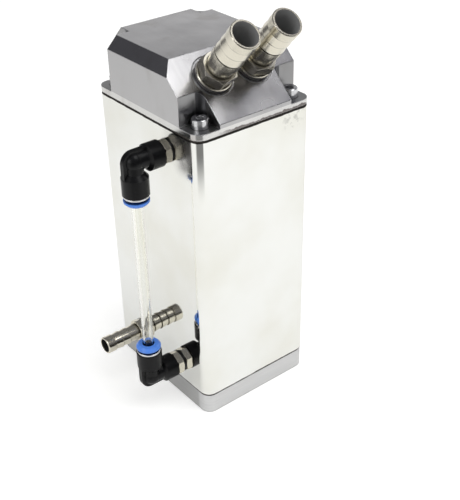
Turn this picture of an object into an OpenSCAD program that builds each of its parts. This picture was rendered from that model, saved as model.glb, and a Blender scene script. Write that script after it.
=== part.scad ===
// Oil catch can: an extruded square tank closed by a base plate and a bolted lid.
// Two large hose barbs stand on the lid's slanted front, a small one leaves the side low down,
// and a clear sight tube runs up that side between two push-in elbows.
// Millimetres. +Z is up, -Y is the front under the slanted face, -X is the sight tube's side.
// The origin is the centre of the base plate's underside.

/* [Tank] */
// Width of the tank, across the sight tube's side
tank_w = 73; // [70:0.5:90]
// Depth of the tank, front to back
tank_d = 87.5; // [84:0.5:110]
// Height of the extruded tank
tank_h = 155.2; // [150:0.4:240]
// Radius of the tank's upright corners
corner_r = 6; // [5:0.5:9]
// Thickness of the tank's walls
wall_t = 3.5; // [3:0.25:4.5]
// Distance of each corner screw from the two faces beside it
screw_inset = 8.1; // [8:0.1:9]
// Radius of the screw boss in each corner
boss_r = 5.2; // [4.6:0.1:5.6]

/* [Base plate] */
// Thickness of the base plate
base_t = 12; // [11:0.5:16]
// Step between the tank's faces and the base plate's edge
base_step = 0.3; // [0.1:0.1:0.8]
// Distance between the two tapped mounting holes in the underside
foot_spacing = 50; // [30:1:54]
// Radius of the tapped mounting holes, at the core of an M8 thread
foot_hole_r = 3.4; // [2.5:0.1:4.2]
// Depth of the tapped mounting holes
foot_hole_h = 9; // [6:0.5:10]

/* [Gaskets] */
// Thickness of the gasket under the lid
lid_gasket_t = 1.2; // [0.6:0.1:2]
// Thickness of the gasket on the base plate
base_gasket_t = 0.8; // [0.5:0.1:1.5]
// How far the gaskets stay inside the outer faces
gasket_step = 0.35; // [0.2:0.05:0.8]

/* [Lid] */
// Height of the lid
lid_h = 31.8; // [30:0.2:36]
// Chamfer along the lid's left, right and rear top edges
lid_chamfer = 6; // [3:0.5:7]
// Thickness of the lid's side walls
lid_wall_t = 4; // [3:0.5:4.5]
// Thickness of the lid's roof
roof_t = 5; // [4:0.5:6]
// Size of the square pocket over each corner screw
pocket = 14; // [13:0.25:14.5]
// Radius of the pockets' inner corners
pocket_r = 4.5; // [2:0.5:6]
// Thickness of the floor under each corner screw's head
pocket_floor_t = 3.1; // [2.5:0.1:5]
// Slope of the lid's front face from level
slope_angle = 43; // [40:0.5:45]
// Distance from the lid's front to the upper edge of the slanted face
slope_run = 28.4; // [27:0.1:29]
// Thickness of the slanted wall that carries the barbs
slope_wall_t = 7; // [5:0.5:8]
// Distance between the two upper barbs
port_spacing = 25; // [24:0.1:26]
// Distance of the upper barbs down the slope from its upper edge
port_down = 14.4; // [13.5:0.1:15.5]
// Depth of the round spotface under each upper barb
spotface_h = 0.5; // [0.3:0.1:1]

/* [Upper barbs] */
// Outer radius of the crests, the collar and the mouth of an upper barb
crest_r = 7.8; // [7.2:0.1:8.2]
// Bore radius of the ridged end
bore_r = 6.65; // [5:0.05:6.7]
// Bore radius inside the thread
thread_bore_r = 6.3; // [4.5:0.05:6.5]
// Radius of the thread, G 3/8
port_thread_r = 8.3; // [7.8:0.1:8.8]
// Length of the thread below the flange
port_thread_h = 10; // [9:0.5:12]
// Radius of the round flange under the hexagon
flange_r = 9.6; // [9.2:0.1:10.2]
// Thickness of that flange
flange_t = 1; // [0.8:0.1:2]
// Size across the flats of the hexagon
port_hex_af = 17; // [16:0.5:17.5]
// Height of the hexagon
port_hex_h = 6.5; // [5:0.5:8]
// Turn of each hexagon where it was tightened, away from the other barb
port_hex_turn = 12; // [0:1:30]
// Radius of the neck above the hexagon
neck_r = 7; // [6.9:0.05:7.1]
// Height of the neck
neck_h = 6.6; // [3:0.1:8]
// Height of the straight collar at the last ridge
collar_h = 4.4; // [3:0.1:6]
// Distance between ridges
ridge_pitch = 5.7; // [4.5:0.1:7]
// Number of tapered ridges between the collar and the mouth
ridges = 2; // [1:1:4]
// Height of the straight land at the mouth
mouth_h = 5.2; // [4:0.1:8]
// Thickness of the sealing washers under the upper barbs
port_washer_t = 2; // [1:0.1:2.5]

/* [Side barb] */
// Height of the side barb's axis above the tank's lower edge
side_rise = 12.6; // [12:0.1:60]
// Distance of the side barb's axis from the tank's rear face
side_fore = 25; // [24:0.25:35]
// Outer radius of the side barb's crests and mouth
side_crest_r = 5.1; // [4.8:0.1:6]
// Bore radius of the side barb's ridged end
side_bore_r = 4.1; // [3.3:0.1:4.3]
// Bore radius inside the side barb's thread
side_thread_bore_r = 3.2; // [2.5:0.1:3.6]
// Radius of the side barb's thread, G 1/8
side_thread_r = 4.85; // [4.6:0.05:5]
// Length of the side barb's thread
side_thread_h = 7.5; // [6:0.5:10]
// Size across the flats of the side barb's hexagon
side_hex_af = 12; // [11.5:0.5:14]
// Height of the side barb's hexagon
side_hex_h = 3.5; // [3:0.5:8]
// Distance between the side barb's ridges
side_pitch = 5; // [3:0.1:6]
// Number of ridges on the side barb
side_ridges = 3; // [2:1:5]
// Height of the straight land at the side barb's mouth
side_mouth_h = 5.1; // [2:0.1:6]
// Thickness of the sealing washer under the side barb
side_washer_t = 1; // [0.8:0.1:2.5]

/* [Sight tube] */
// Outer radius of the clear tube
tube_r = 3; // [2.6:0.1:3.1]
// Inner radius of the clear tube
tube_bore_r = 2; // [1.5:0.1:2.2]
// Distance of the tube's axis from the tank's side
tube_out = 19.8; // [19.6:0.1:30]
// Distance of the tube's axis behind the tank's front face
tube_back = 25.25; // [22:0.25:28]
// Distance of the upper elbow's stud below the tank's upper edge
upper_drop = 11.4; // [10:0.1:30]
// Height of the lower elbow's stud above the tank's lower edge
lower_rise = 11.2; // [10.4:0.1:40]
// Depth of the tube in each elbow
tube_depth = 12.6; // [10:0.1:12.8]

/* [Elbows] */
// Distance from an elbow's corner to the mouth of its tube barrel
elbow_drop = 17.8; // [17.4:0.1:22]
// Radius of the tube barrel
barrel_r = 7; // [6.8:0.1:7.5]
// Height of the tube barrel up to its shoulder
barrel_h = 12.3; // [10:0.1:13]
// Radius of the stud barrel
stud_barrel_r = 7; // [6.6:0.1:7.2]
// Length of the stud barrel
stud_barrel_h = 8.5; // [6:0.1:9]
// Radius of the ball at the elbow's corner
corner_ball_r = 5.2; // [5.1:0.1:5.6]
// Radius of the round rib that runs around the outside of the corner
rib_r = 6.3; // [6:0.1:6.4]
// Distance from the tube's axis to that rib's outer side
rib_out = 6.8; // [6.5:0.1:6.9]
// Thickness of that rib
rib_t = 2.8; // [2:0.2:6]
// Size across the flats of a stud's hexagon
stud_hex_af = 12; // [11:0.5:13]
// Height of a stud's hexagon
stud_hex_h = 4.1; // [3:0.1:5]
// Radius of a stud's thread, G 1/8
stud_thread_r = 4.85; // [4:0.05:5]
// Length of a stud's thread
stud_thread_h = 7; // [6:0.5:10]
// Bore radius of a stud
stud_bore_r = 2.2; // [1.5:0.1:2.5]
// Radius of the stem that turns in the elbow
stem_r = 4.3; // [4:0.05:4.6]
// Length of that stem
stem_h = 8.6; // [7:0.1:9]
// Thickness of the sealing ring between a stud and the tank
stud_washer_t = 0.8; // [0.6:0.1:2]
// Depth of the guide ring in the barrel
guide_h = 4.2; // [3.6:0.1:4.4]
// How far the guide ring's lip stands out of the barrel
guide_lip_h = 1.1; // [0.4:0.1:1.2]
// Radius of the guide ring's lip
guide_lip_r = 6.5; // [6:0.1:6.6]
// Gap between the guide ring and the release ring's flange
release_gap = 1.5; // [1.4:0.1:2]
// Radius of the release ring's flange
release_r = 6.7; // [6:0.1:7]
// Height of the straight part of that flange
release_rim_h = 1; // [0.5:0.1:1.5]
// Height of the tapered part of that flange
release_taper_h = 1.3; // [0.5:0.1:2]

/* [Screws] */
// Radius of the corner screws' shank, M5
screw_r = 2.5; // [2:0.1:2.6]
// Radius of a screw's head
head_r = 4.25; // [3.8:0.05:4.4]
// Height of a screw's head
head_h = 5; // [4:0.1:6]
// Size across the flats of the hexagon socket
key_af = 4; // [3:0.5:4.5]
// Length of a screw under its head
screw_h = 16; // [14:1:20]

/* [Clearances] */
// Radial clearance of a thread or shank in its hole
thread_gap = 0.05; // [0.03:0.01:0.08]
// Radial clearance of seated rings, seals and stems
ring_gap = 0.05; // [0.03:0.01:0.06]
// Radial clearance of a screw in a plate it only passes through
pass_gap = 0.25; // [0.15:0.05:0.4]
// Radial clearance around a release ring's sleeve and around the tube in it
slide_gap = 0.3; // [0.25:0.05:0.35]

/* [Hidden] */
$fn = 64;
far = 200;
cut = 1;

// Heights of the stack, from the ground up
tank_z = base_t + base_gasket_t;
gasket_z = tank_z + tank_h;
lid_z = gasket_z + lid_gasket_t;
lid_top = lid_z + lid_h;
floor_z = lid_z + pocket_floor_t;
upper_z = gasket_z - upper_drop;
lower_z = tank_z + lower_rise;
side_z = tank_z + side_rise;

// Plan of the corner screws and of the slanted face's upper edge
screw_x = tank_w/2 - screw_inset;
screw_y = tank_d/2 - screw_inset;
slope_y = -tank_d/2 + slope_run;
tube_y = -tank_d/2 + tube_back;
side_y = tank_d/2 - side_fore;

// Radius of the hollow's upright corners
hollow_extra_r = 0.5;
hollow_r = corner_r - wall_t + hollow_extra_r;

// Edge breaks, and the overlap of shapes that are joined
small_break = 0.4;
thread_break = 0.8;
lip_break = 0.2;
join = 0.1;

// Screw details
key_h = head_h/2;
counterbore_r = head_r + 2*pass_gap;
head_sunk = 0.5;
counterbore_h = head_h + head_sunk;

// Barb details
ridge_drop = 0.6;
crest_w = 0.4;
groove_h = 0.6;
side_neck_h = 1.65;
spotface_gap = 1.3;
hex_chamfer = 35;

// Elbow details, with depths counted from the mouth of the tube barrel
barrel_wall_t = 1.2;
guide_wall_r = barrel_r - barrel_wall_t;
grab_t = 0.5;
ring_space = 0.1;
grab_depth = guide_h + ring_space;
seal_space = 1.6;
seal_depth = grab_depth + grab_t + seal_space;
seal_wire_r = 0.9;
seal_mid_r = tube_r + ring_gap + seal_wire_r;
seal_seat_r = seal_mid_r + seal_wire_r + ring_gap;
stop_space = 0.2;
stop_depth = tube_depth + stop_space;
sleeve_t = 1.2;
sleeve_r = tube_r + slide_gap + sleeve_t;
guide_bore_r = sleeve_r + slide_gap;
sleeve_space = 0.3;
sleeve_depth = grab_depth - release_gap - sleeve_space;
taper_w = 1.2;
taper_r = release_r - taper_w;
core_up_r = 4.8;
core_side_r = 4.9;
passage_up_r = 2.1;
passage_side_r = 1.9;
shoulder_h = 1.2;
barrel_shoulder_h = 2.4;
stud_clear = 0.2;
stem_groove_w = 1.1;
stem_groove_r = stem_r - stem_groove_w;
stem_groove_h = 1.6;
stem_groove_at = 5.2;
elbow_reach = tube_out - stud_washer_t - stud_hex_h - stud_clear;
rib_down = elbow_drop - barrel_h + barrel_shoulder_h;
rib_shift = rib_out - rib_r;
rib_side = elbow_reach - stud_barrel_h + shoulder_h + join;
release_z = guide_lip_h + release_gap;
grab_slots = 8;
grab_slot_w = 0.6;
grab_sheet = 0.4;
grab_lean = 0.6;
grab_hub_w = 1;

// Rectangle with round corners, centred
module rounded_plan(w, d, r) {
    square([w - 2*r, d], center = true);
    square([w, d - 2*r], center = true);
    for (x = [-1, 1], y = [-1, 1])
        translate([x*(w/2 - r), y*(d/2 - r)]) circle(r);
}

module at_screws() {
    for (x = [-1, 1], y = [-1, 1])
        translate([x*screw_x, y*screw_y]) children();
}

// Clear plan inside the tank, with the four screw bosses left standing
module tank_hollow_plan() {
    difference() {
        rounded_plan(tank_w - 2*wall_t, tank_d - 2*wall_t, hollow_r);
        at_screws() circle(boss_r);
    }
}

// Turns +Z to the left, out of the tank's -X side
module out_of_side(y, z) {
    translate([-tank_w/2, y, z]) rotate([0, -90, 0]) children();
}

// Frame on the slanted face: +Z leaves the face, +Y runs up the slope
module on_slope(x, down) {
    translate([0, slope_y, lid_top]) rotate([slope_angle, 0, 0]) translate([x, -down, 0]) children();
}

// Frame of an elbow: the tube barrel points down and the stud barrel points to +X
module at_elbow(upper) {
    translate([-tank_w/2 - tube_out, tube_y, upper ? upper_z : lower_z])
        mirror([0, 0, upper ? 0 : 1]) children();
}

// Hexagon with both ends chamfered to the circle through its flats
module hexagon(af, h) {
    corner = af/2/cos(30);
    lost = (corner - af/2)*tan(hex_chamfer);
    intersection() {
        cylinder(r = corner, h = h, $fn = 6);
        rotate_extrude() polygon([[0, 0], [af/2, 0], [corner, lost], [corner, h - lost], [af/2, h], [0, h]]);
    }
}

module flat_ring(inner_r, outer_r, h) {
    difference() {
        cylinder(r = outer_r, h = h);
        translate([0, 0, -cut]) cylinder(r = inner_r, h = h + 2*cut);
    }
}

// Round seal of circular section around Z
module seal(mid_r, wire_r) {
    rotate_extrude() translate([mid_r, 0]) circle(wire_r, $fn = 32);
}

// Socket head screw with its head's underside at z = 0 and its shank down
module cap_screw() {
    difference() {
        union() {
            rotate_extrude() polygon([[0, 0], [head_r, 0], [head_r, head_h - small_break],
                [head_r - small_break, head_h], [0, head_h]]);
            translate([0, 0, -screw_h]) rotate_extrude() polygon([[0, 0], [screw_r - small_break, 0],
                [screw_r, small_break], [screw_r, screw_h + join], [0, screw_h + join]]);
        }
        translate([0, 0, head_h - key_h]) cylinder(r = key_af/2/cos(30), h = key_h + cut, $fn = 6);
    }
}

// Outer half section of a run of ridges, each widest at its lower end
function ridge_section(z, n, pitch, wide_r, narrow_r) =
    [for (i = [0:n - 1]) each [[wide_r, z + i*pitch], [wide_r, z + i*pitch + crest_w],
        [narrow_r, z + (i + 1)*pitch]]];

// Upper hose barb: z = 0 is the flange's underside, the mouth is up
module upper_barb(turn) {
    hex_z = flange_t;
    neck_z = hex_z + port_hex_h;
    collar_z = neck_z + neck_h;
    ridge_z = collar_z + collar_h + groove_h;
    mouth_z = ridge_z + ridges*ridge_pitch;
    top_z = mouth_z + mouth_h;
    root_r = crest_r - ridge_drop;
    color([0.80, 0.77, 0.69]) difference() {
        union() {
            rotate_extrude() polygon(concat(
                [[0, -port_thread_h], [port_thread_r - thread_break, -port_thread_h],
                    [port_thread_r, thread_break - port_thread_h], [port_thread_r, 0], [flange_r, 0],
                    [flange_r, flange_t - small_break], [flange_r - small_break, flange_t],
                    [neck_r, flange_t], [neck_r, collar_z], [crest_r, collar_z],
                    [crest_r, collar_z + collar_h], [root_r, collar_z + collar_h], [root_r, ridge_z]],
                ridge_section(ridge_z, ridges, ridge_pitch, crest_r, root_r),
                [[crest_r, mouth_z], [crest_r, top_z - small_break],
                    [crest_r - small_break, top_z], [0, top_z]]));
            translate([0, 0, hex_z]) rotate(turn) hexagon(port_hex_af, port_hex_h);
        }
        translate([0, 0, -port_thread_h - cut]) cylinder(r = thread_bore_r, h = far);
        translate([0, 0, collar_z]) cylinder(r = bore_r, h = far);
    }
}

module upper_barb_washer() {
    color([0.62, 0.62, 0.64]) flat_ring(port_thread_r + thread_gap, flange_r - lip_break, port_washer_t);
}

// Both upper barbs stand on their washers, which lie in the spotfaces
module at_port(side) {
    on_slope(side*port_spacing/2, port_down) translate([0, 0, -spotface_h]) children();
}

module tank_body() {
    color([0.88, 0.88, 0.87]) difference() {
        translate([0, 0, tank_z]) linear_extrude(tank_h) difference() {
            rounded_plan(tank_w, tank_d, corner_r);
            tank_hollow_plan();
            at_screws() circle(screw_r + thread_gap);
        }
        for (z = [upper_z, lower_z])
            out_of_side(tube_y, z) translate([0, 0, -wall_t - cut])
                cylinder(r = stud_thread_r + thread_gap, h = wall_t + 2*cut);
        out_of_side(side_y, side_z) translate([0, 0, -wall_t - cut])
            cylinder(r = side_thread_r + thread_gap, h = wall_t + 2*cut);
    }
}

module base_plate() {
    color([0.80, 0.80, 0.80]) difference() {
        linear_extrude(base_t)
            rounded_plan(tank_w - 2*base_step, tank_d - 2*base_step, corner_r - base_step);
        at_screws() translate([0, 0, -cut]) {
            cylinder(r = screw_r + pass_gap, h = base_t + 2*cut);
            cylinder(r = counterbore_r, h = counterbore_h + cut);
        }
        for (y = [-1, 1])
            translate([0, y*foot_spacing/2, -cut]) cylinder(r = foot_hole_r, h = foot_hole_h + cut);
    }
}

module gasket(t) {
    linear_extrude(t) difference() {
        rounded_plan(tank_w - 2*gasket_step, tank_d - 2*gasket_step, corner_r - gasket_step);
        tank_hollow_plan();
        at_screws() circle(screw_r + pass_gap);
    }
}

module base_gasket() {
    color([0.12, 0.12, 0.12]) translate([0, 0, base_t]) gasket(base_gasket_t);
}

module lid_gasket() {
    color([0.16, 0.14, 0.13]) translate([0, 0, gasket_z]) gasket(lid_gasket_t);
}

module base_screws() {
    color([0.72, 0.72, 0.73]) at_screws() translate([0, 0, counterbore_h]) mirror([0, 0, 1]) cap_screw();
}

module lid_screws() {
    color([0.78, 0.78, 0.79]) at_screws() translate([0, 0, floor_z]) cap_screw();
}

// Plan of the four corner pockets, grown inwards to give the walls around them
module pocket_plan(grow) {
    r = pocket_r + grow;
    for (left = [0, 1], front = [0, 1])
        mirror([left, 0]) mirror([0, front])
        translate([tank_w/2 - pocket - grow, tank_d/2 - pocket - grow]) {
            translate([r, r]) circle(r);
            translate([r, 0]) square(far);
            translate([0, r]) square(far);
        }
}

// Half plane below a line through (x, z), tilted up by an angle
module below_line(x, z, angle) {
    translate([x, z]) rotate(angle) translate([-far, -far]) square([2*far, far]);
}

// Side view of the lid, from the front at -Y to the rear, shrunk by its walls
module lid_side_view(side_t, top_t, front_t) {
    intersection() {
        translate([side_t - tank_d/2, 0]) square([tank_d - 2*side_t, lid_top - top_t]);
        below_line(slope_y + front_t*sin(slope_angle), lid_top - front_t*cos(slope_angle), slope_angle);
        below_line(tank_d/2 - lid_chamfer - side_t, lid_top - top_t, -45);
    }
}

// Front view of the lid, shrunk by its walls
module lid_front_view(side_t, top_t) {
    intersection() {
        translate([side_t - tank_w/2, 0]) square([tank_w - 2*side_t, lid_top - top_t]);
        below_line(tank_w/2 - lid_chamfer - side_t, lid_top - top_t, -45);
        below_line(side_t + lid_chamfer - tank_w/2, lid_top - top_t, 45);
    }
}

// Solid with a given side view and front view
module lid_block(side_t, top_t, front_t) {
    intersection() {
        translate([-far/2, 0, 0]) rotate([90, 0, 90]) linear_extrude(far)
            lid_side_view(side_t, top_t, front_t);
        translate([0, far/2, 0]) rotate([90, 0, 0]) linear_extrude(far) lid_front_view(side_t, top_t);
    }
}

module lid() {
    color([0.74, 0.74, 0.76]) difference() {
        intersection() {
            lid_block(0, 0, 0);
            translate([0, 0, lid_z]) linear_extrude(lid_h) rounded_plan(tank_w, tank_d, corner_r);
        }
        translate([0, 0, floor_z]) linear_extrude(far) pocket_plan(0);
        intersection() {
            lid_block(lid_wall_t, roof_t, slope_wall_t);
            translate([0, 0, lid_z - cut]) linear_extrude(lid_h) difference() {
                square([tank_w - 2*lid_wall_t, tank_d - 2*lid_wall_t], center = true);
                pocket_plan(lid_wall_t);
            }
        }
        at_screws() translate([0, 0, lid_z - cut])
            cylinder(r = screw_r + pass_gap, h = pocket_floor_t + 2*cut);
        for (side = [-1, 1]) at_port(side) {
            cylinder(r = flange_r + spotface_gap, h = spotface_h + cut);
            translate([0, 0, -slope_wall_t - cut])
                cylinder(r = port_thread_r + thread_gap, h = slope_wall_t + 2*cut);
        }
    }
}

module left_hose_barb() {
    at_port(-1) translate([0, 0, port_washer_t]) upper_barb(port_hex_turn);
}

module right_hose_barb() {
    at_port(1) translate([0, 0, port_washer_t]) upper_barb(-port_hex_turn);
}

module left_barb_washer() {
    at_port(-1) upper_barb_washer();
}

module right_barb_washer() {
    at_port(1) upper_barb_washer();
}

module side_hose_barb() {
    ridge_z = side_hex_h + side_neck_h;
    mouth_z = ridge_z + side_ridges*side_pitch;
    top_z = mouth_z + side_mouth_h;
    root_r = side_crest_r - ridge_drop;
    color([0.80, 0.77, 0.69]) out_of_side(side_y, side_z) translate([0, 0, side_washer_t]) difference() {
        union() {
            rotate_extrude() polygon(concat(
                [[0, -side_thread_h], [side_thread_r - thread_break, -side_thread_h],
                    [side_thread_r, thread_break - side_thread_h], [side_thread_r, join],
                    [root_r, join], [root_r, ridge_z]],
                ridge_section(ridge_z, side_ridges, side_pitch, side_crest_r, root_r),
                [[side_crest_r, mouth_z], [side_crest_r, top_z - small_break],
                    [side_crest_r - small_break, top_z], [0, top_z]]));
            hexagon(side_hex_af, side_hex_h);
        }
        translate([0, 0, -side_thread_h - cut]) cylinder(r = side_thread_bore_r, h = far);
        translate([0, 0, side_hex_h]) cylinder(r = side_bore_r, h = far);
    }
}

module side_barb_washer() {
    color([0.62, 0.62, 0.64]) out_of_side(side_y, side_z)
        flat_ring(side_thread_r + thread_gap, side_hex_af/2, side_washer_t);
}

module sight_tube() {
    low_z = lower_z + elbow_drop - tube_depth;
    high_z = upper_z - elbow_drop + tube_depth;
    color([0.90, 0.90, 0.82, 0.5]) translate([-tank_w/2 - tube_out, tube_y, low_z])
        flat_ring(tube_bore_r, tube_r, high_z - low_z);
}

// Outline of the rib around the outside of an elbow's corner, seen from the front
module rib_outline() {
    translate([-rib_shift, 0]) circle(rib_r);
    translate([-rib_out, -rib_down]) square([rib_out, rib_down]);
    translate([-rib_shift, 0]) square([rib_shift + rib_side, rib_r]);
}

module elbow_body() {
    color([0.07, 0.07, 0.08]) difference() {
        union() {
            translate([0, 0, -elbow_drop]) {
                rotate_extrude() polygon([[0, 0], [barrel_r - small_break, 0], [barrel_r, small_break],
                    [barrel_r, barrel_h - barrel_shoulder_h], [core_up_r, barrel_h], [0, barrel_h]]);
                cylinder(r = core_up_r, h = elbow_drop);
            }
            rotate([0, 90, 0]) cylinder(r = core_side_r, h = elbow_reach);
            translate([elbow_reach - stud_barrel_h, 0, 0]) rotate([0, 90, 0]) rotate_extrude()
                polygon([[0, 0], [core_side_r, 0], [stud_barrel_r, shoulder_h],
                    [stud_barrel_r, stud_barrel_h], [0, stud_barrel_h]]);
            sphere(corner_ball_r);
            translate([0, rib_t/2, 0]) rotate([90, 0, 0]) linear_extrude(rib_t) rib_outline();
        }
        translate([0, 0, -elbow_drop]) {
            translate([0, 0, -cut]) cylinder(r = guide_wall_r, h = grab_depth + grab_t + cut);
            cylinder(r = seal_seat_r, h = seal_depth + seal_wire_r);
            cylinder(r = tube_r + ring_gap, h = stop_depth);
            cylinder(r = passage_up_r, h = elbow_drop + cut);
        }
        rotate([0, 90, 0]) cylinder(r = passage_side_r, h = elbow_reach + cut);
        translate([elbow_reach - stem_h, 0, 0]) rotate([0, 90, 0])
            cylinder(r = stem_r + ring_gap, h = stem_h + cut);
    }
}

// Threaded stud: z = 0 is the hexagon's tank side, the thread is down and the stem up
module stud() {
    stem_z = stud_hex_h + stud_clear;
    top_z = stem_z + stem_h - stud_clear;
    groove_z = stem_z + stem_groove_at;
    color([0.82, 0.78, 0.68]) difference() {
        union() {
            rotate_extrude() polygon([[0, -stud_thread_h], [stud_thread_r - thread_break, -stud_thread_h],
                [stud_thread_r, thread_break - stud_thread_h], [stud_thread_r, join], [stem_r, join],
                [stem_r, groove_z], [stem_groove_r, groove_z], [stem_groove_r, groove_z + stem_groove_h],
                [stem_r, groove_z + stem_groove_h], [stem_r, top_z - small_break],
                [stem_r - small_break, top_z], [0, top_z]]);
            hexagon(stud_hex_af, stud_hex_h);
        }
        translate([0, 0, -stud_thread_h - cut]) cylinder(r = stud_bore_r, h = far);
    }
}

module at_stud(upper) {
    out_of_side(tube_y, upper ? upper_z : lower_z) children();
}

module stud_washer() {
    color([0.08, 0.08, 0.08]) rotate_extrude() polygon([[stud_thread_r + thread_gap, 0],
        [stud_hex_af/2, 0], [stud_hex_af/2, stud_washer_t], [stud_thread_r + thread_gap, stud_washer_t]]);
}

// Seal in the stem's groove, pressed lightly against the barrel's bore
module stem_seal() {
    wire_r = (stem_r - stem_groove_r)/2;
    middle = stud_washer_t + stud_hex_h + stud_clear + stem_groove_at + stem_groove_h/2;
    color([0.10, 0.10, 0.10]) translate([0, 0, middle]) seal(stem_groove_r + ring_gap/2 + wire_r, wire_r);
}

module tube_seal() {
    color([0.10, 0.10, 0.10]) translate([0, 0, -elbow_drop + seal_depth]) seal(seal_mid_r, seal_wire_r);
}

// Toothed steel ring that holds the tube: its teeth lean inwards around the tube
module grab_ring() {
    outer_r = guide_wall_r - ring_gap;
    hub_r = guide_wall_r - grab_hub_w;
    color([0.70, 0.70, 0.72]) translate([0, 0, grab_depth - elbow_drop]) difference() {
        rotate_extrude() polygon([[outer_r, 0], [outer_r, grab_sheet], [hub_r, grab_sheet],
            [tube_r + ring_gap, grab_lean + grab_sheet], [tube_r + ring_gap, grab_lean], [hub_r, 0]]);
        for (i = [0:grab_slots - 1]) rotate(i*360/grab_slots)
            translate([0, -grab_slot_w/2, -cut]) cube([hub_r, grab_slot_w, 3*cut]);
    }
}

// Metal sleeve pressed into the barrel's mouth, with a lip outside
module guide_ring() {
    color([0.80, 0.80, 0.80]) translate([0, 0, -elbow_drop]) rotate_extrude() polygon([
        [guide_bore_r, guide_h], [guide_wall_r - ring_gap, guide_h], [guide_wall_r - ring_gap, 0],
        [guide_lip_r, 0], [guide_lip_r, -guide_lip_h + lip_break], [guide_lip_r - lip_break, -guide_lip_h],
        [guide_bore_r, -guide_lip_h]]);
}

// Push ring that frees the tube when its flange is pressed towards the elbow
module release_ring() {
    bore = tube_r + slide_gap;
    rim_z = -release_z - release_rim_h;
    color([0.25, 0.48, 0.90]) translate([0, 0, -elbow_drop]) rotate_extrude() polygon([
        [bore, sleeve_depth], [sleeve_r - small_break, sleeve_depth], [sleeve_r, sleeve_depth - small_break],
        [sleeve_r, -release_z], [release_r, -release_z], [release_r, rim_z],
        [taper_r, rim_z - release_taper_h], [bore, rim_z - release_taper_h]]);
}

module upper_elbow() { at_elbow(true) elbow_body(); }
module lower_elbow() { at_elbow(false) elbow_body(); }
module upper_stud() { at_stud(true) translate([0, 0, stud_washer_t]) stud(); }
module lower_stud() { at_stud(false) translate([0, 0, stud_washer_t]) stud(); }
module upper_stud_washer() { at_stud(true) stud_washer(); }
module lower_stud_washer() { at_stud(false) stud_washer(); }
module upper_stem_seal() { at_stud(true) stem_seal(); }
module lower_stem_seal() { at_stud(false) stem_seal(); }
module upper_tube_seal() { at_elbow(true) tube_seal(); }
module lower_tube_seal() { at_elbow(false) tube_seal(); }
module upper_grab_ring() { at_elbow(true) grab_ring(); }
module lower_grab_ring() { at_elbow(false) grab_ring(); }
module upper_guide_ring() { at_elbow(true) guide_ring(); }
module lower_guide_ring() { at_elbow(false) guide_ring(); }
module upper_release_ring() { at_elbow(true) release_ring(); }
module lower_release_ring() { at_elbow(false) release_ring(); }

tank_body();
base_plate();
base_gasket();
base_screws();
lid();
lid_gasket();
lid_screws();
left_hose_barb();
left_barb_washer();
right_hose_barb();
right_barb_washer();
side_hose_barb();
side_barb_washer();
sight_tube();
upper_elbow();
upper_stud();
upper_stud_washer();
upper_stem_seal();
upper_tube_seal();
upper_grab_ring();
upper_guide_ring();
upper_release_ring();
lower_elbow();
lower_stud();
lower_stud_washer();
lower_stem_seal();
lower_tube_seal();
lower_grab_ring();
lower_guide_ring();
lower_release_ring();
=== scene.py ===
from math import radians, sin, cos

import bpy
from mathutils import Matrix, Vector

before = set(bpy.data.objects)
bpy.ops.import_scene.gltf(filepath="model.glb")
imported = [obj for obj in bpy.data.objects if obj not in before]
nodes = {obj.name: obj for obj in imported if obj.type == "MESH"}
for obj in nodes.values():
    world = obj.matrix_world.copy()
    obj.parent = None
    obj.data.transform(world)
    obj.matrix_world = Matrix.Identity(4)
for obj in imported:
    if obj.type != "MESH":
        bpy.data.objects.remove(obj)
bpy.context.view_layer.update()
MM = 0.001


# The view. The can stands corner on, seen from above and a little to the left of its front corner.
# The camera's place was worked out from the can's own upright and level edges.
CAMERA_PLACE = Vector((-266.90, -360.41, 358.87)) * MM
CAMERA_RIGHT = Vector((0.77915826, -0.62655627, -0.01842939))
CAMERA_DOWN = Vector((-0.34829441, -0.40830485, -0.84378798))
LONG_SIDE = 36.0
LENS = 66.71

camera = bpy.data.objects.new("camera", bpy.data.cameras.new("camera"))
bpy.context.scene.collection.objects.link(camera)
camera.data.sensor_width = LONG_SIDE
camera.data.lens = LENS
camera.data.clip_start = 0.02
camera.data.clip_end = 20
turn = Matrix((CAMERA_RIGHT, -CAMERA_DOWN, CAMERA_DOWN.cross(CAMERA_RIGHT))).transposed()
camera.matrix_world = Matrix.Translation(CAMERA_PLACE) @ turn.to_4x4()
bpy.context.scene.camera = camera
bpy.context.scene.view_settings.view_transform = "Standard"


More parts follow.
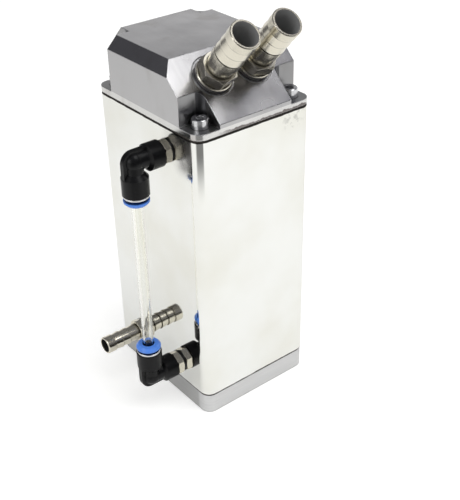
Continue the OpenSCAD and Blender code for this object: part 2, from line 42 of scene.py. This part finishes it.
class Link:
    """A socket of a shader's nodes. Arithmetic adds Math nodes, and node() adds any other kind."""

    def __init__(self, tree, socket=None):
        self.tree = tree
        self.socket = socket

    def node(self, kind, settings, inputs, output=0):
        """A new node with its settings, then the values or links of its sockets."""
        made = self.tree.nodes.new("ShaderNode" + kind)
        for name, value in settings.items():
            setattr(made, name, value)
        for name, value in inputs.items():
            if isinstance(value, Link):
                self.tree.links.new(value.socket, made.inputs[name])
            else:
                made.inputs[name].default_value = value
        return Link(self.tree, made.outputs[output])

    def into(self, shader, name):
        self.tree.links.new(self.socket, shader.inputs[name])

    def maths(self, operation, *values):
        return self.node("Math", {"operation": operation}, dict(enumerate(values)))

    def __add__(self, other):
        return self.maths("ADD", self, other)

    def __sub__(self, other):
        return self.maths("SUBTRACT", self, other)

    def __rsub__(self, other):
        return self.maths("SUBTRACT", other, self)

    def __mul__(self, other):
        return self.maths("MULTIPLY", self, other)

    def __truediv__(self, other):
        return self.maths("DIVIDE", self, other)

    __radd__ = __add__
    __rmul__ = __mul__

    def larger(self, other):
        return self.maths("MAXIMUM", self, other)

    def above(self, low, high):
        """0 below low, 1 above high, with a soft step between."""
        steps = {"Value": self, "From Min": low, "From Max": high}
        return self.node("MapRange", {"interpolation_type": "SMOOTHSTEP"}, steps)

    def magnitude(self):
        return self.maths("ABSOLUTE", self)

    def colour(self, low, high):
        """The colour low where this is 0, and high where it is 1. Either may be a link itself."""
        ends = [end if isinstance(end, Link) else (*end, 1) for end in (low, high)]
        return self.node("Mix", {"data_type": "RGBA"}, {0: self, 6: ends[0], 7: ends[1]}, 2)

    def axis(self, name):
        """One number, X, Y or Z, of this vector."""
        return self.node("SeparateXYZ", {}, {0: self}, name)

    def along(self, direction):
        """How far this vector reaches along a direction."""
        vectors = {0: self, 1: direction}
        return self.node("VectorMath", {"operation": "DOT_PRODUCT"}, vectors, "Value")

    def length(self):
        return self.node("VectorMath", {"operation": "LENGTH"}, {0: self}, "Value")

    def minus(self, point):
        """This vector, counted from a point."""
        return self.node("VectorMath", {"operation": "SUBTRACT"}, {0: self, 1: point})


# The studio: a white table in a light tent, under one large soft lamp. The tent is white at the
# table's level and grey above it, with a dark opening in front, so polished metal shows both light
# and dark. The camera sees plain white behind the can.
WHITE = (1, 1, 1)
TENT_REAR = (0.18, 0.18, 0.19)
TENT_FRONT = (0.23, 0.23, 0.26)
TENT_DARK = (0.10, 0.10, 0.11)
TENT_OPENING = (0.05, 0.05, 0.05)
TENT_GLOW = (0.50, 0.50, 0.50)
SOFT_BOX = (3.2, 3.2, 3.2)
TABLE_WHITE = (0.80, 0.80, 0.79)
TABLE_DARK = (0.08, 0.08, 0.08)
TABLE_SEEN = 0.44
TABLE_GLOW = 0.25

world = bpy.data.worlds.new("tent")
bpy.context.scene.world = world
world.use_nodes = True
start = Link(world.node_tree)
towards = start.node("TexCoord", {}, {}, "Generated")
height = towards.axis("Z")
seen = start.node("LightPath", {}, {}, "Is Camera Ray")
diffuse = start.node("LightPath", {}, {}, "Is Diffuse Ray")
front = towards.along(Vector((0.5, -0.85, 0))).above(-0.3, 0.6)
opening = towards.along(Vector((0, -1, 0))).above(0.35, 0.70)
low_wall = opening.colour(WHITE, TENT_OPENING)
wall = height.above(0.27, 0.42).colour(low_wall, front.colour(TENT_REAR, TENT_FRONT))
rear = towards.along(Vector((-0.42, 0.84, 0.34)).normalized()).above(0.80, 0.95)
wall = rear.colour(wall, TENT_DARK)
aside = towards.axis("X") / height
ahead = towards.axis("Y") / height
soft_box = height.above(0, 0.05) * aside.above(0, 0.10) * (1 - aside.above(0.66, 0.72))
soft_box = soft_box * ahead.above(-0.86, -0.80) * (1 - ahead.above(-0.14, -0.04))
wall = soft_box.colour(wall, SOFT_BOX)
wall = diffuse.colour(wall, TENT_GLOW)
wall = seen.colour(wall, WHITE)
wall.into(world.node_tree.nodes["Background"], "Color")


def soft_lamp(name, place, aim, size, watts):
    """A square lamp of that size in metres at a place, facing the point aim."""
    lamp = bpy.data.objects.new(name, bpy.data.lights.new(name, "AREA"))
    bpy.context.scene.collection.objects.link(lamp)
    lamp.data.size = size
    lamp.data.energy = watts
    lamp.location = place
    lamp.rotation_euler = (Vector(aim) - Vector(place)).to_track_quat("-Z", "Y").to_euler()
    return lamp


overhead = soft_lamp("overhead", (0.25, -0.45, 1.30), (0.25, -0.45, 0), 1.0, 9)
overhead.visible_glossy = False
soft_lamp("left_fill", (-1.10, -0.10, 0.75), (0, 0, 0.1), 0.6, 3)

bpy.ops.mesh.primitive_plane_add(size=8)
table = bpy.context.object
table.name = "table"
table_white = bpy.data.materials.new("table_white")
table_white.use_nodes = True
shader = table_white.node_tree.nodes["Principled BSDF"]
shader.inputs["Roughness"].default_value = 1
shader.inputs["Specular IOR Level"].default_value = 0
shader.inputs["Emission Strength"].default_value = 1
start = Link(table_white.node_tree)
seen = start.node("LightPath", {}, {}, "Is Camera Ray")
in_metal = start.node("LightPath", {}, {}, "Is Glossy Ray")
in_tube = start.node("LightPath", {}, {}, "Is Transmission Ray")
place = start.node("NewGeometry", {}, {}, "Position")
# Painted shade: seen in the metal only, the table is coloured dark far in front and at the front left, so
# polished faces show dark there.
front_end = place.along((0.1, -1.0, 0)).above(0.58, 0.75)
left_front = place.along((0.26, -0.97, 0)).above(0, 0.10) * place.along((-1.0, 0.09, 0)).above(0, 0.06)
left_front = left_front * place.length().above(0.29, 0.38) * 0.85
dark = front_end.larger(left_front) * in_metal
dark.colour(TABLE_WHITE, TABLE_DARK).into(shader, "Base Color")
lit = (1 - dark) * in_metal
(seen * TABLE_SEEN + lit.larger(in_tube) * TABLE_GLOW).into(shader, "Emission Color")
table.data.materials.append(table_white)


# Tank. A square aluminium tube with walls of 3.5 mm and a screw boss in each corner, polished by
# hand to a mirror, so its faces are a little wavy and carry the haze and hairlines of the polish.
def new_finish(name, **constants):
    """A Principled material with constants on its own sockets, its shader and a first Link."""
    made = bpy.data.materials.new(name)
    made.use_nodes = True
    surface = made.node_tree.nodes["Principled BSDF"]
    for socket, value in constants.items():
        surface.inputs[socket.replace("_", " ")].default_value = value
    return made, surface, Link(made.node_tree)


def speckle(start, scale, stretch=(1, 1, 1), detail=2.0):
    """Noise in the part's own frame, its grain about 1/scale metres long and drawn out by stretch."""
    where = start.node("TexCoord", {}, {}, "Object")
    where = start.node("VectorMath", {"operation": "MULTIPLY"}, {0: where, 1: stretch})
    return start.node("TexNoise", {}, {"Vector": where, "Scale": scale, "Detail": detail}, "Fac")


def relief(height, depth, edge=0.0):
    """The normals of a surface that rises by height times depth, its sharp edges rounded by edge."""
    heights = {"Distance": depth, "Height": height}
    if edge:
        heights["Normal"] = height.node("Bevel", {"samples": 6}, {"Radius": edge})
    return height.node("Bump", {}, heights)


def edges(start, radius):
    """1 along the sharp edges of a piece, out to about that radius, and 0 on its faces."""
    face = start.node("NewGeometry", {}, {}, "Normal")
    rounded = start.node("Bevel", {"samples": 6}, {"Radius": radius})
    return (1 - rounded.along(face)).above(0.01, 0.12)


def crevice(start, reach):
    """1 in gaps and inner corners narrower than reach, and 0 in the open: an occlusion mask, which paints
    shade where it darkens a colour.
    """
    return 1 - start.node("AmbientOcclusion", {"samples": 8}, {"Distance": reach}, "AO")


def wear(name, material):
    """Gives a node its finish."""
    nodes[name].data.materials.clear()
    nodes[name].data.materials.append(material)


TOP_CORNER = Vector((-36.5, -33, 163)) * MM
SPLASH = Vector((24, -43.75, 165)) * MM
# A near black for real dark joints and dirt, also used as painted shade in gaps and inner corners.
GRIME_AND_SHADE = (0.06, 0.055, 0.05)
TANK_LOW = 12.8 * MM
TANK_TOP = 168.0 * MM
polish, shader, start = new_finish("mirror_polish", Metallic=1.0)
haze = speckle(start, 20, detail=3).above(0.35, 0.75)
hairlines = speckle(start, 300, (1, 1, 0.06)).above(0.55, 0.85)
where = start.node("TexCoord", {}, {}, "Object")
# Painted dark reflection: on the left face near the upper stud, patches are coloured dark grey for the dark
# reflection there, and the polish there is also rougher.
near_stud = 1 - where.minus(TOP_CORNER).length().above(7 * MM, 20 * MM)
left_face = 1 - where.axis("X").above(-36.48 * MM, -36.3 * MM)
dull_and_dark_reflection = near_stud * left_face * speckle(start, 60).above(0.25, 0.6)
polish_and_reflection = haze.colour((0.865, 0.87, 0.845), (0.79, 0.785, 0.725))
polish_and_reflection = dull_and_dark_reflection.colour(polish_and_reflection, (0.40, 0.39, 0.38))
level = where.axis("Z") + speckle(start, 200) * (0.8 * MM)
low_joint = 1 - level.above(TANK_LOW + 0.6 * MM, TANK_LOW + 1.0 * MM)
joints = low_joint.larger(level.above(TANK_TOP, TANK_TOP + 0.4 * MM))
# Painted shade: gaps and inner corners are darkened to the near black, alongside the real dark joints and the
# dirt specks by the flange.
grime_and_shade = joints.larger(crevice(start, 1.5 * MM).above(0.25, 0.6))
near_flange = 1 - where.minus(SPLASH).length().above(2 * MM, 10 * MM)
grime_and_shade = grime_and_shade.larger(near_flange * speckle(start, 400, detail=4).above(0.50, 0.64) * 0.30)
grime_and_shade.colour(polish_and_reflection, GRIME_AND_SHADE).into(shader, "Base Color")
(haze * 0.04 + hairlines * 0.05 + dull_and_dark_reflection * 0.30 + 0.025).into(shader, "Roughness")
relief(speckle(start, 16, (1, 1, 0.4)), 0.12 * MM).into(shader, "Normal")
wear("tank_body", polish)


# Base plate. A 12 mm aluminium plate, sawn and milled, with fine level tool marks round its edge.
satin, shader, start = new_finish("satin_plate", Metallic=1.0)
marks = speckle(start, 900, (0.05, 0.05, 1))
where = start.node("TexCoord", {}, {}, "Object")
# Painted shade: the plate's left side, except near its front, is coloured darker than its other faces.
shade_split = where.axis("X").above(-36.4 * MM, -35.8 * MM).larger(1 - where.axis("Y").above(-37 * MM, -33 * MM))
shaded_side = marks.colour((0.32, 0.32, 0.315), (0.46, 0.46, 0.455))
finish_and_shade = shade_split.colour(shaded_side, marks.colour((0.57, 0.57, 0.57), (0.72, 0.72, 0.72)))
# Painted shade darkens gaps and inner corners, and a painted highlight lightens the sharp edges.
finish_and_shade = crevice(start, 1.5 * MM).above(0.25, 0.6).colour(finish_and_shade, GRIME_AND_SHADE)
edges(start, 0.5 * MM).colour(finish_and_shade, (0.85, 0.85, 0.85)).into(shader, "Base Color")
(marks * 0.15 + 0.30).into(shader, "Roughness")
relief(marks, 0.01 * MM, edge=0.4 * MM).into(shader, "Normal")
wear("base_plate", satin)


# Gaskets. Sheet rubber, squeezed between the tank and its plate and lid.
sheet_rubber, shader, start = new_finish("sheet_rubber", Roughness=0.75)
speckle(start, 700).colour((0.012, 0.010, 0.008), (0.045, 0.036, 0.030)).into(shader, "Base Color")
wear("base_gasket", sheet_rubber)
wear("lid_gasket", sheet_rubber)


# Lid. Milled from one block of aluminium and polished less than the tank, so it is a darker and
# softer mirror, its broken edges bright with a painted highlight. The pockets over the screws are left as
# milled.
POCKET_X = 22.5 * MM
POCKET_Y = 29.75 * MM
POCKET_Z = 172.3 * MM
lid_polish, shader, start = new_finish("lid_polish", Metallic=1.0)
cloud = speckle(start, 40, detail=3).above(0.3, 0.8)
stain = speckle(start, 70, (1, 1, 0.5), 4).above(0.52, 0.75)
drawn = speckle(start, 500, (1, 0.03, 0.03))
where = start.node("TexCoord", {}, {}, "Object")
across = where.axis("X").magnitude().above(POCKET_X - 0.1 * MM, POCKET_X + 0.1 * MM)
fore = where.axis("Y").magnitude().above(POCKET_Y - 0.1 * MM, POCKET_Y + 0.1 * MM)
shade_split = across * fore * where.axis("Z").above(POCKET_Z + 0.1 * MM, POCKET_Z + 0.3 * MM)
polish_and_sheen = drawn.colour((0.44, 0.435, 0.44), (0.50, 0.495, 0.50))
polish_and_sheen = (stain * 0.6).colour(polish_and_sheen, (0.36, 0.345, 0.33))
# Painted reflection: the band below the pocket floors is coloured lighter than the faces above, for the white
# table it reflects, with real brownish stains in it.
rim = 1 - where.axis("Z").above(POCKET_Z + 0.05 * MM, POCKET_Z + 0.1 * MM)
polish_and_sheen = rim.colour(polish_and_sheen, stain.colour((0.68, 0.675, 0.66), (0.44, 0.41, 0.39)))
ragged = where.axis("Z") + speckle(start, 320, detail=4) * (3.2 * MM)
seep = 1 - ragged.above(POCKET_Z - 0.6 * MM, POCKET_Z - 0.1 * MM)
seep = seep * (1 - where.axis("Y").above(-36 * MM, -34 * MM)) * where.axis("X").above(-28 * MM, -12 * MM)
polish_and_sheen = (seep * 0.85).colour(polish_and_sheen, (0.10, 0.08, 0.075))
# Painted shade: the pockets' walls are coloured near black, and their floors a darker grey.
pocket = across * fore * where.axis("Z").above(POCKET_Z - 0.3 * MM, POCKET_Z - 0.1 * MM)
finish_and_shade = pocket.colour(polish_and_sheen, shade_split.colour((0.36, 0.36, 0.36), (0.085, 0.085, 0.09)))
# Painted shade darkens gaps and inner corners, and a painted highlight lightens the sharp edges.
finish_and_shade = crevice(start, 1.5 * MM).above(0.15, 0.5).colour(finish_and_shade, GRIME_AND_SHADE)
(edges(start, 0.5 * MM) * 0.6).colour(finish_and_shade, (0.80, 0.80, 0.80)).into(shader, "Base Color")
(cloud * 0.12 + pocket * 0.16 + 0.17).into(shader, "Roughness")
relief(speckle(start, 30), 0.10 * MM, edge=0.6 * MM).into(shader, "Normal")
wear("lid", lid_polish)


# Socket screws. Bright steel, turned heads with a hexagon socket.
bright_steel, shader, start = new_finish("bright_steel", Metallic=1.0)
grain = speckle(start, 1200)
turned_and_glint = grain.colour((0.72, 0.72, 0.73), (0.60, 0.60, 0.61))
# Painted highlight along the sharp edges, and painted shade in the socket and other gaps and inner corners.
turned_and_glint = edges(start, 0.4 * MM).colour(turned_and_glint, (0.95, 0.95, 0.95))
crevice(start, 2.5 * MM).above(0.45, 0.85).colour(turned_and_glint, GRIME_AND_SHADE).into(shader, "Base Color")
(grain * 0.12 + 0.16).into(shader, "Roughness")
relief(grain, 0.005 * MM, edge=0.3 * MM).into(shader, "Normal")
wear("lid_screws", bright_steel)
wear("base_screws", bright_steel)


# Hose barbs and studs. Brass, turned from bar and nickel plated: warm grey, with the fine rings
# that the tool left; the bores are painted dark grey as shade, and the grooves under the ridges darkened with
# painted shade.
def nickel_brass(name, centre, direction, bore, mouth, inside_shade):
    """Nickel plating with rings round an axis, painted shade in its crevices, and a dark grey painted in as
    shade within the bore, up to its mouth.
    """
    material, shader, start = new_finish(name)
    where = start.node("TexCoord", {}, {}, "Object").minus(Vector(centre))
    reach = where.along(direction)
    length = where.length()
    from_axis = start.maths("SQRT", length * length - reach * reach)
    outside = from_axis.above(bore + 0.03 * MM, bore + 0.25 * MM).larger(reach.above(mouth, mouth + 0.1 * MM))
    rings = start.node("TexNoise", {"noise_dimensions": "1D"}, {"W": reach, "Scale": 3500, "Detail": 2}, "Fac")
    plating_and_shade = rings.colour((0.80, 0.765, 0.67), (0.66, 0.62, 0.51))
    # Painted shade in gaps and under the ridges.
    plating_and_shade = crevice(start, 1.2 * MM).above(0.12, 0.5).colour(plating_and_shade, (0.10, 0.09, 0.06))
    outside.colour((inside_shade, inside_shade, inside_shade), plating_and_shade).into(shader, "Base Color")
    outside.into(shader, "Metallic")
    (rings * 0.10 - outside * 0.34 + 0.50).into(shader, "Roughness")
    relief(rings, 0.01 * MM, edge=0.25 * MM).into(shader, "Normal")
    return material


SLOPE = radians(43)
PORT_NORMAL = Vector((0, -sin(SLOPE), cos(SLOPE)))
PORT_HEIGHT = 191.18
PORT_FORE = -25.88
PORT_APART = 12.5
for side, hand in (("left", -1), ("right", 1)):
    centre = Vector((hand * PORT_APART, PORT_FORE, PORT_HEIGHT)) * MM
    plating_and_shade = nickel_brass(side + "_barb_plate", centre, PORT_NORMAL, 6.65 * MM, 37.0 * MM, 0.28)
    wear(side + "_hose_barb", plating_and_shade)
OUTWARD = Vector((-1, 0, 0))
side_centre = Vector((-36.5, 18.75, 25.4)) * MM
side_plate = nickel_brass("side_barb_plate", side_centre, OUTWARD, 4.1 * MM, 26.1 * MM, 0.02)
wear("side_hose_barb", side_plate)
for end, level in (("upper", 156.6), ("lower", 24.0)):
    stud_centre = Vector((-36.5, -18.5, level)) * MM
    wear(end + "_stud", nickel_brass(end + "_stud_plate", stud_centre, OUTWARD, 2.2 * MM, 30 * MM, 0.1))


# Sealing washers under the barbs: plain grey metal.
dull_metal, shader, start = new_finish("dull_metal", Metallic=1.0, Roughness=0.38)
speckle(start, 1500).colour((0.58, 0.58, 0.58), (0.74, 0.74, 0.74)).into(shader, "Base Color")
for name in ("left_barb_washer", "right_barb_washer", "side_barb_washer"):
    wear(name, dull_metal)


# Elbows. Moulded black plastic with the faint texture of the mould.
black_plastic, shader, start = new_finish("black_plastic", Specular_IOR_Level=0.20)
texture = speckle(start, 1400)
texture.colour((0.003, 0.003, 0.003), (0.006, 0.006, 0.007)).into(shader, "Base Color")
(texture * 0.12 + 0.24).into(shader, "Roughness")
relief(texture, 0.015 * MM).into(shader, "Normal")
wear("upper_elbow", black_plastic)
wear("lower_elbow", black_plastic)


# Seals. Black rubber.
black_rubber, shader, start = new_finish("black_rubber", Roughness=0.6)
speckle(start, 900).colour((0.012, 0.012, 0.012), (0.022, 0.022, 0.022)).into(shader, "Base Color")
for end in ("upper", "lower"):
    for seal in ("_stud_washer", "_stem_seal", "_tube_seal"):
        wear(end + seal, black_rubber)


# Grab rings and guide rings. Spring steel teeth, and bright sleeves pressed into the elbows.
for end in ("upper", "lower"):
    wear(end + "_grab_ring", bright_steel)
    wear(end + "_guide_ring", bright_steel)


# Release rings. Light blue plastic, pushed in by hand to free the tube.
blue_plastic, shader, start = new_finish("blue_plastic", Roughness=0.32, Coat_Roughness=0.2)
tint = speckle(start, 800).colour((0.075, 0.24, 0.80), (0.095, 0.28, 0.88))
# Painted shade: gaps and inner corners, such as the neck under the flange, are coloured dark navy.
crevice(start, 2.5 * MM).above(0.3, 0.7).colour(tint, (0.0, 0.004, 0.06)).into(shader, "Base Color")
for end in ("upper", "lower"):
    wear(end + "_release_ring", blue_plastic)


# Sight tube. Clear polyurethane, 6 mm outside and 4 mm inside, with a faint warm cast.
clear_tube, shader, start = new_finish("clear_tube", Roughness=0.0, IOR=1.45, Transmission_Weight=1.0)
streaks = speckle(start, 400, (1, 1, 0.02)).above(0.3, 0.7)
streaks.colour((0.995, 0.995, 0.98), (0.97, 0.97, 0.92)).into(shader, "Base Color")
wear("sight_tube", clear_tube)
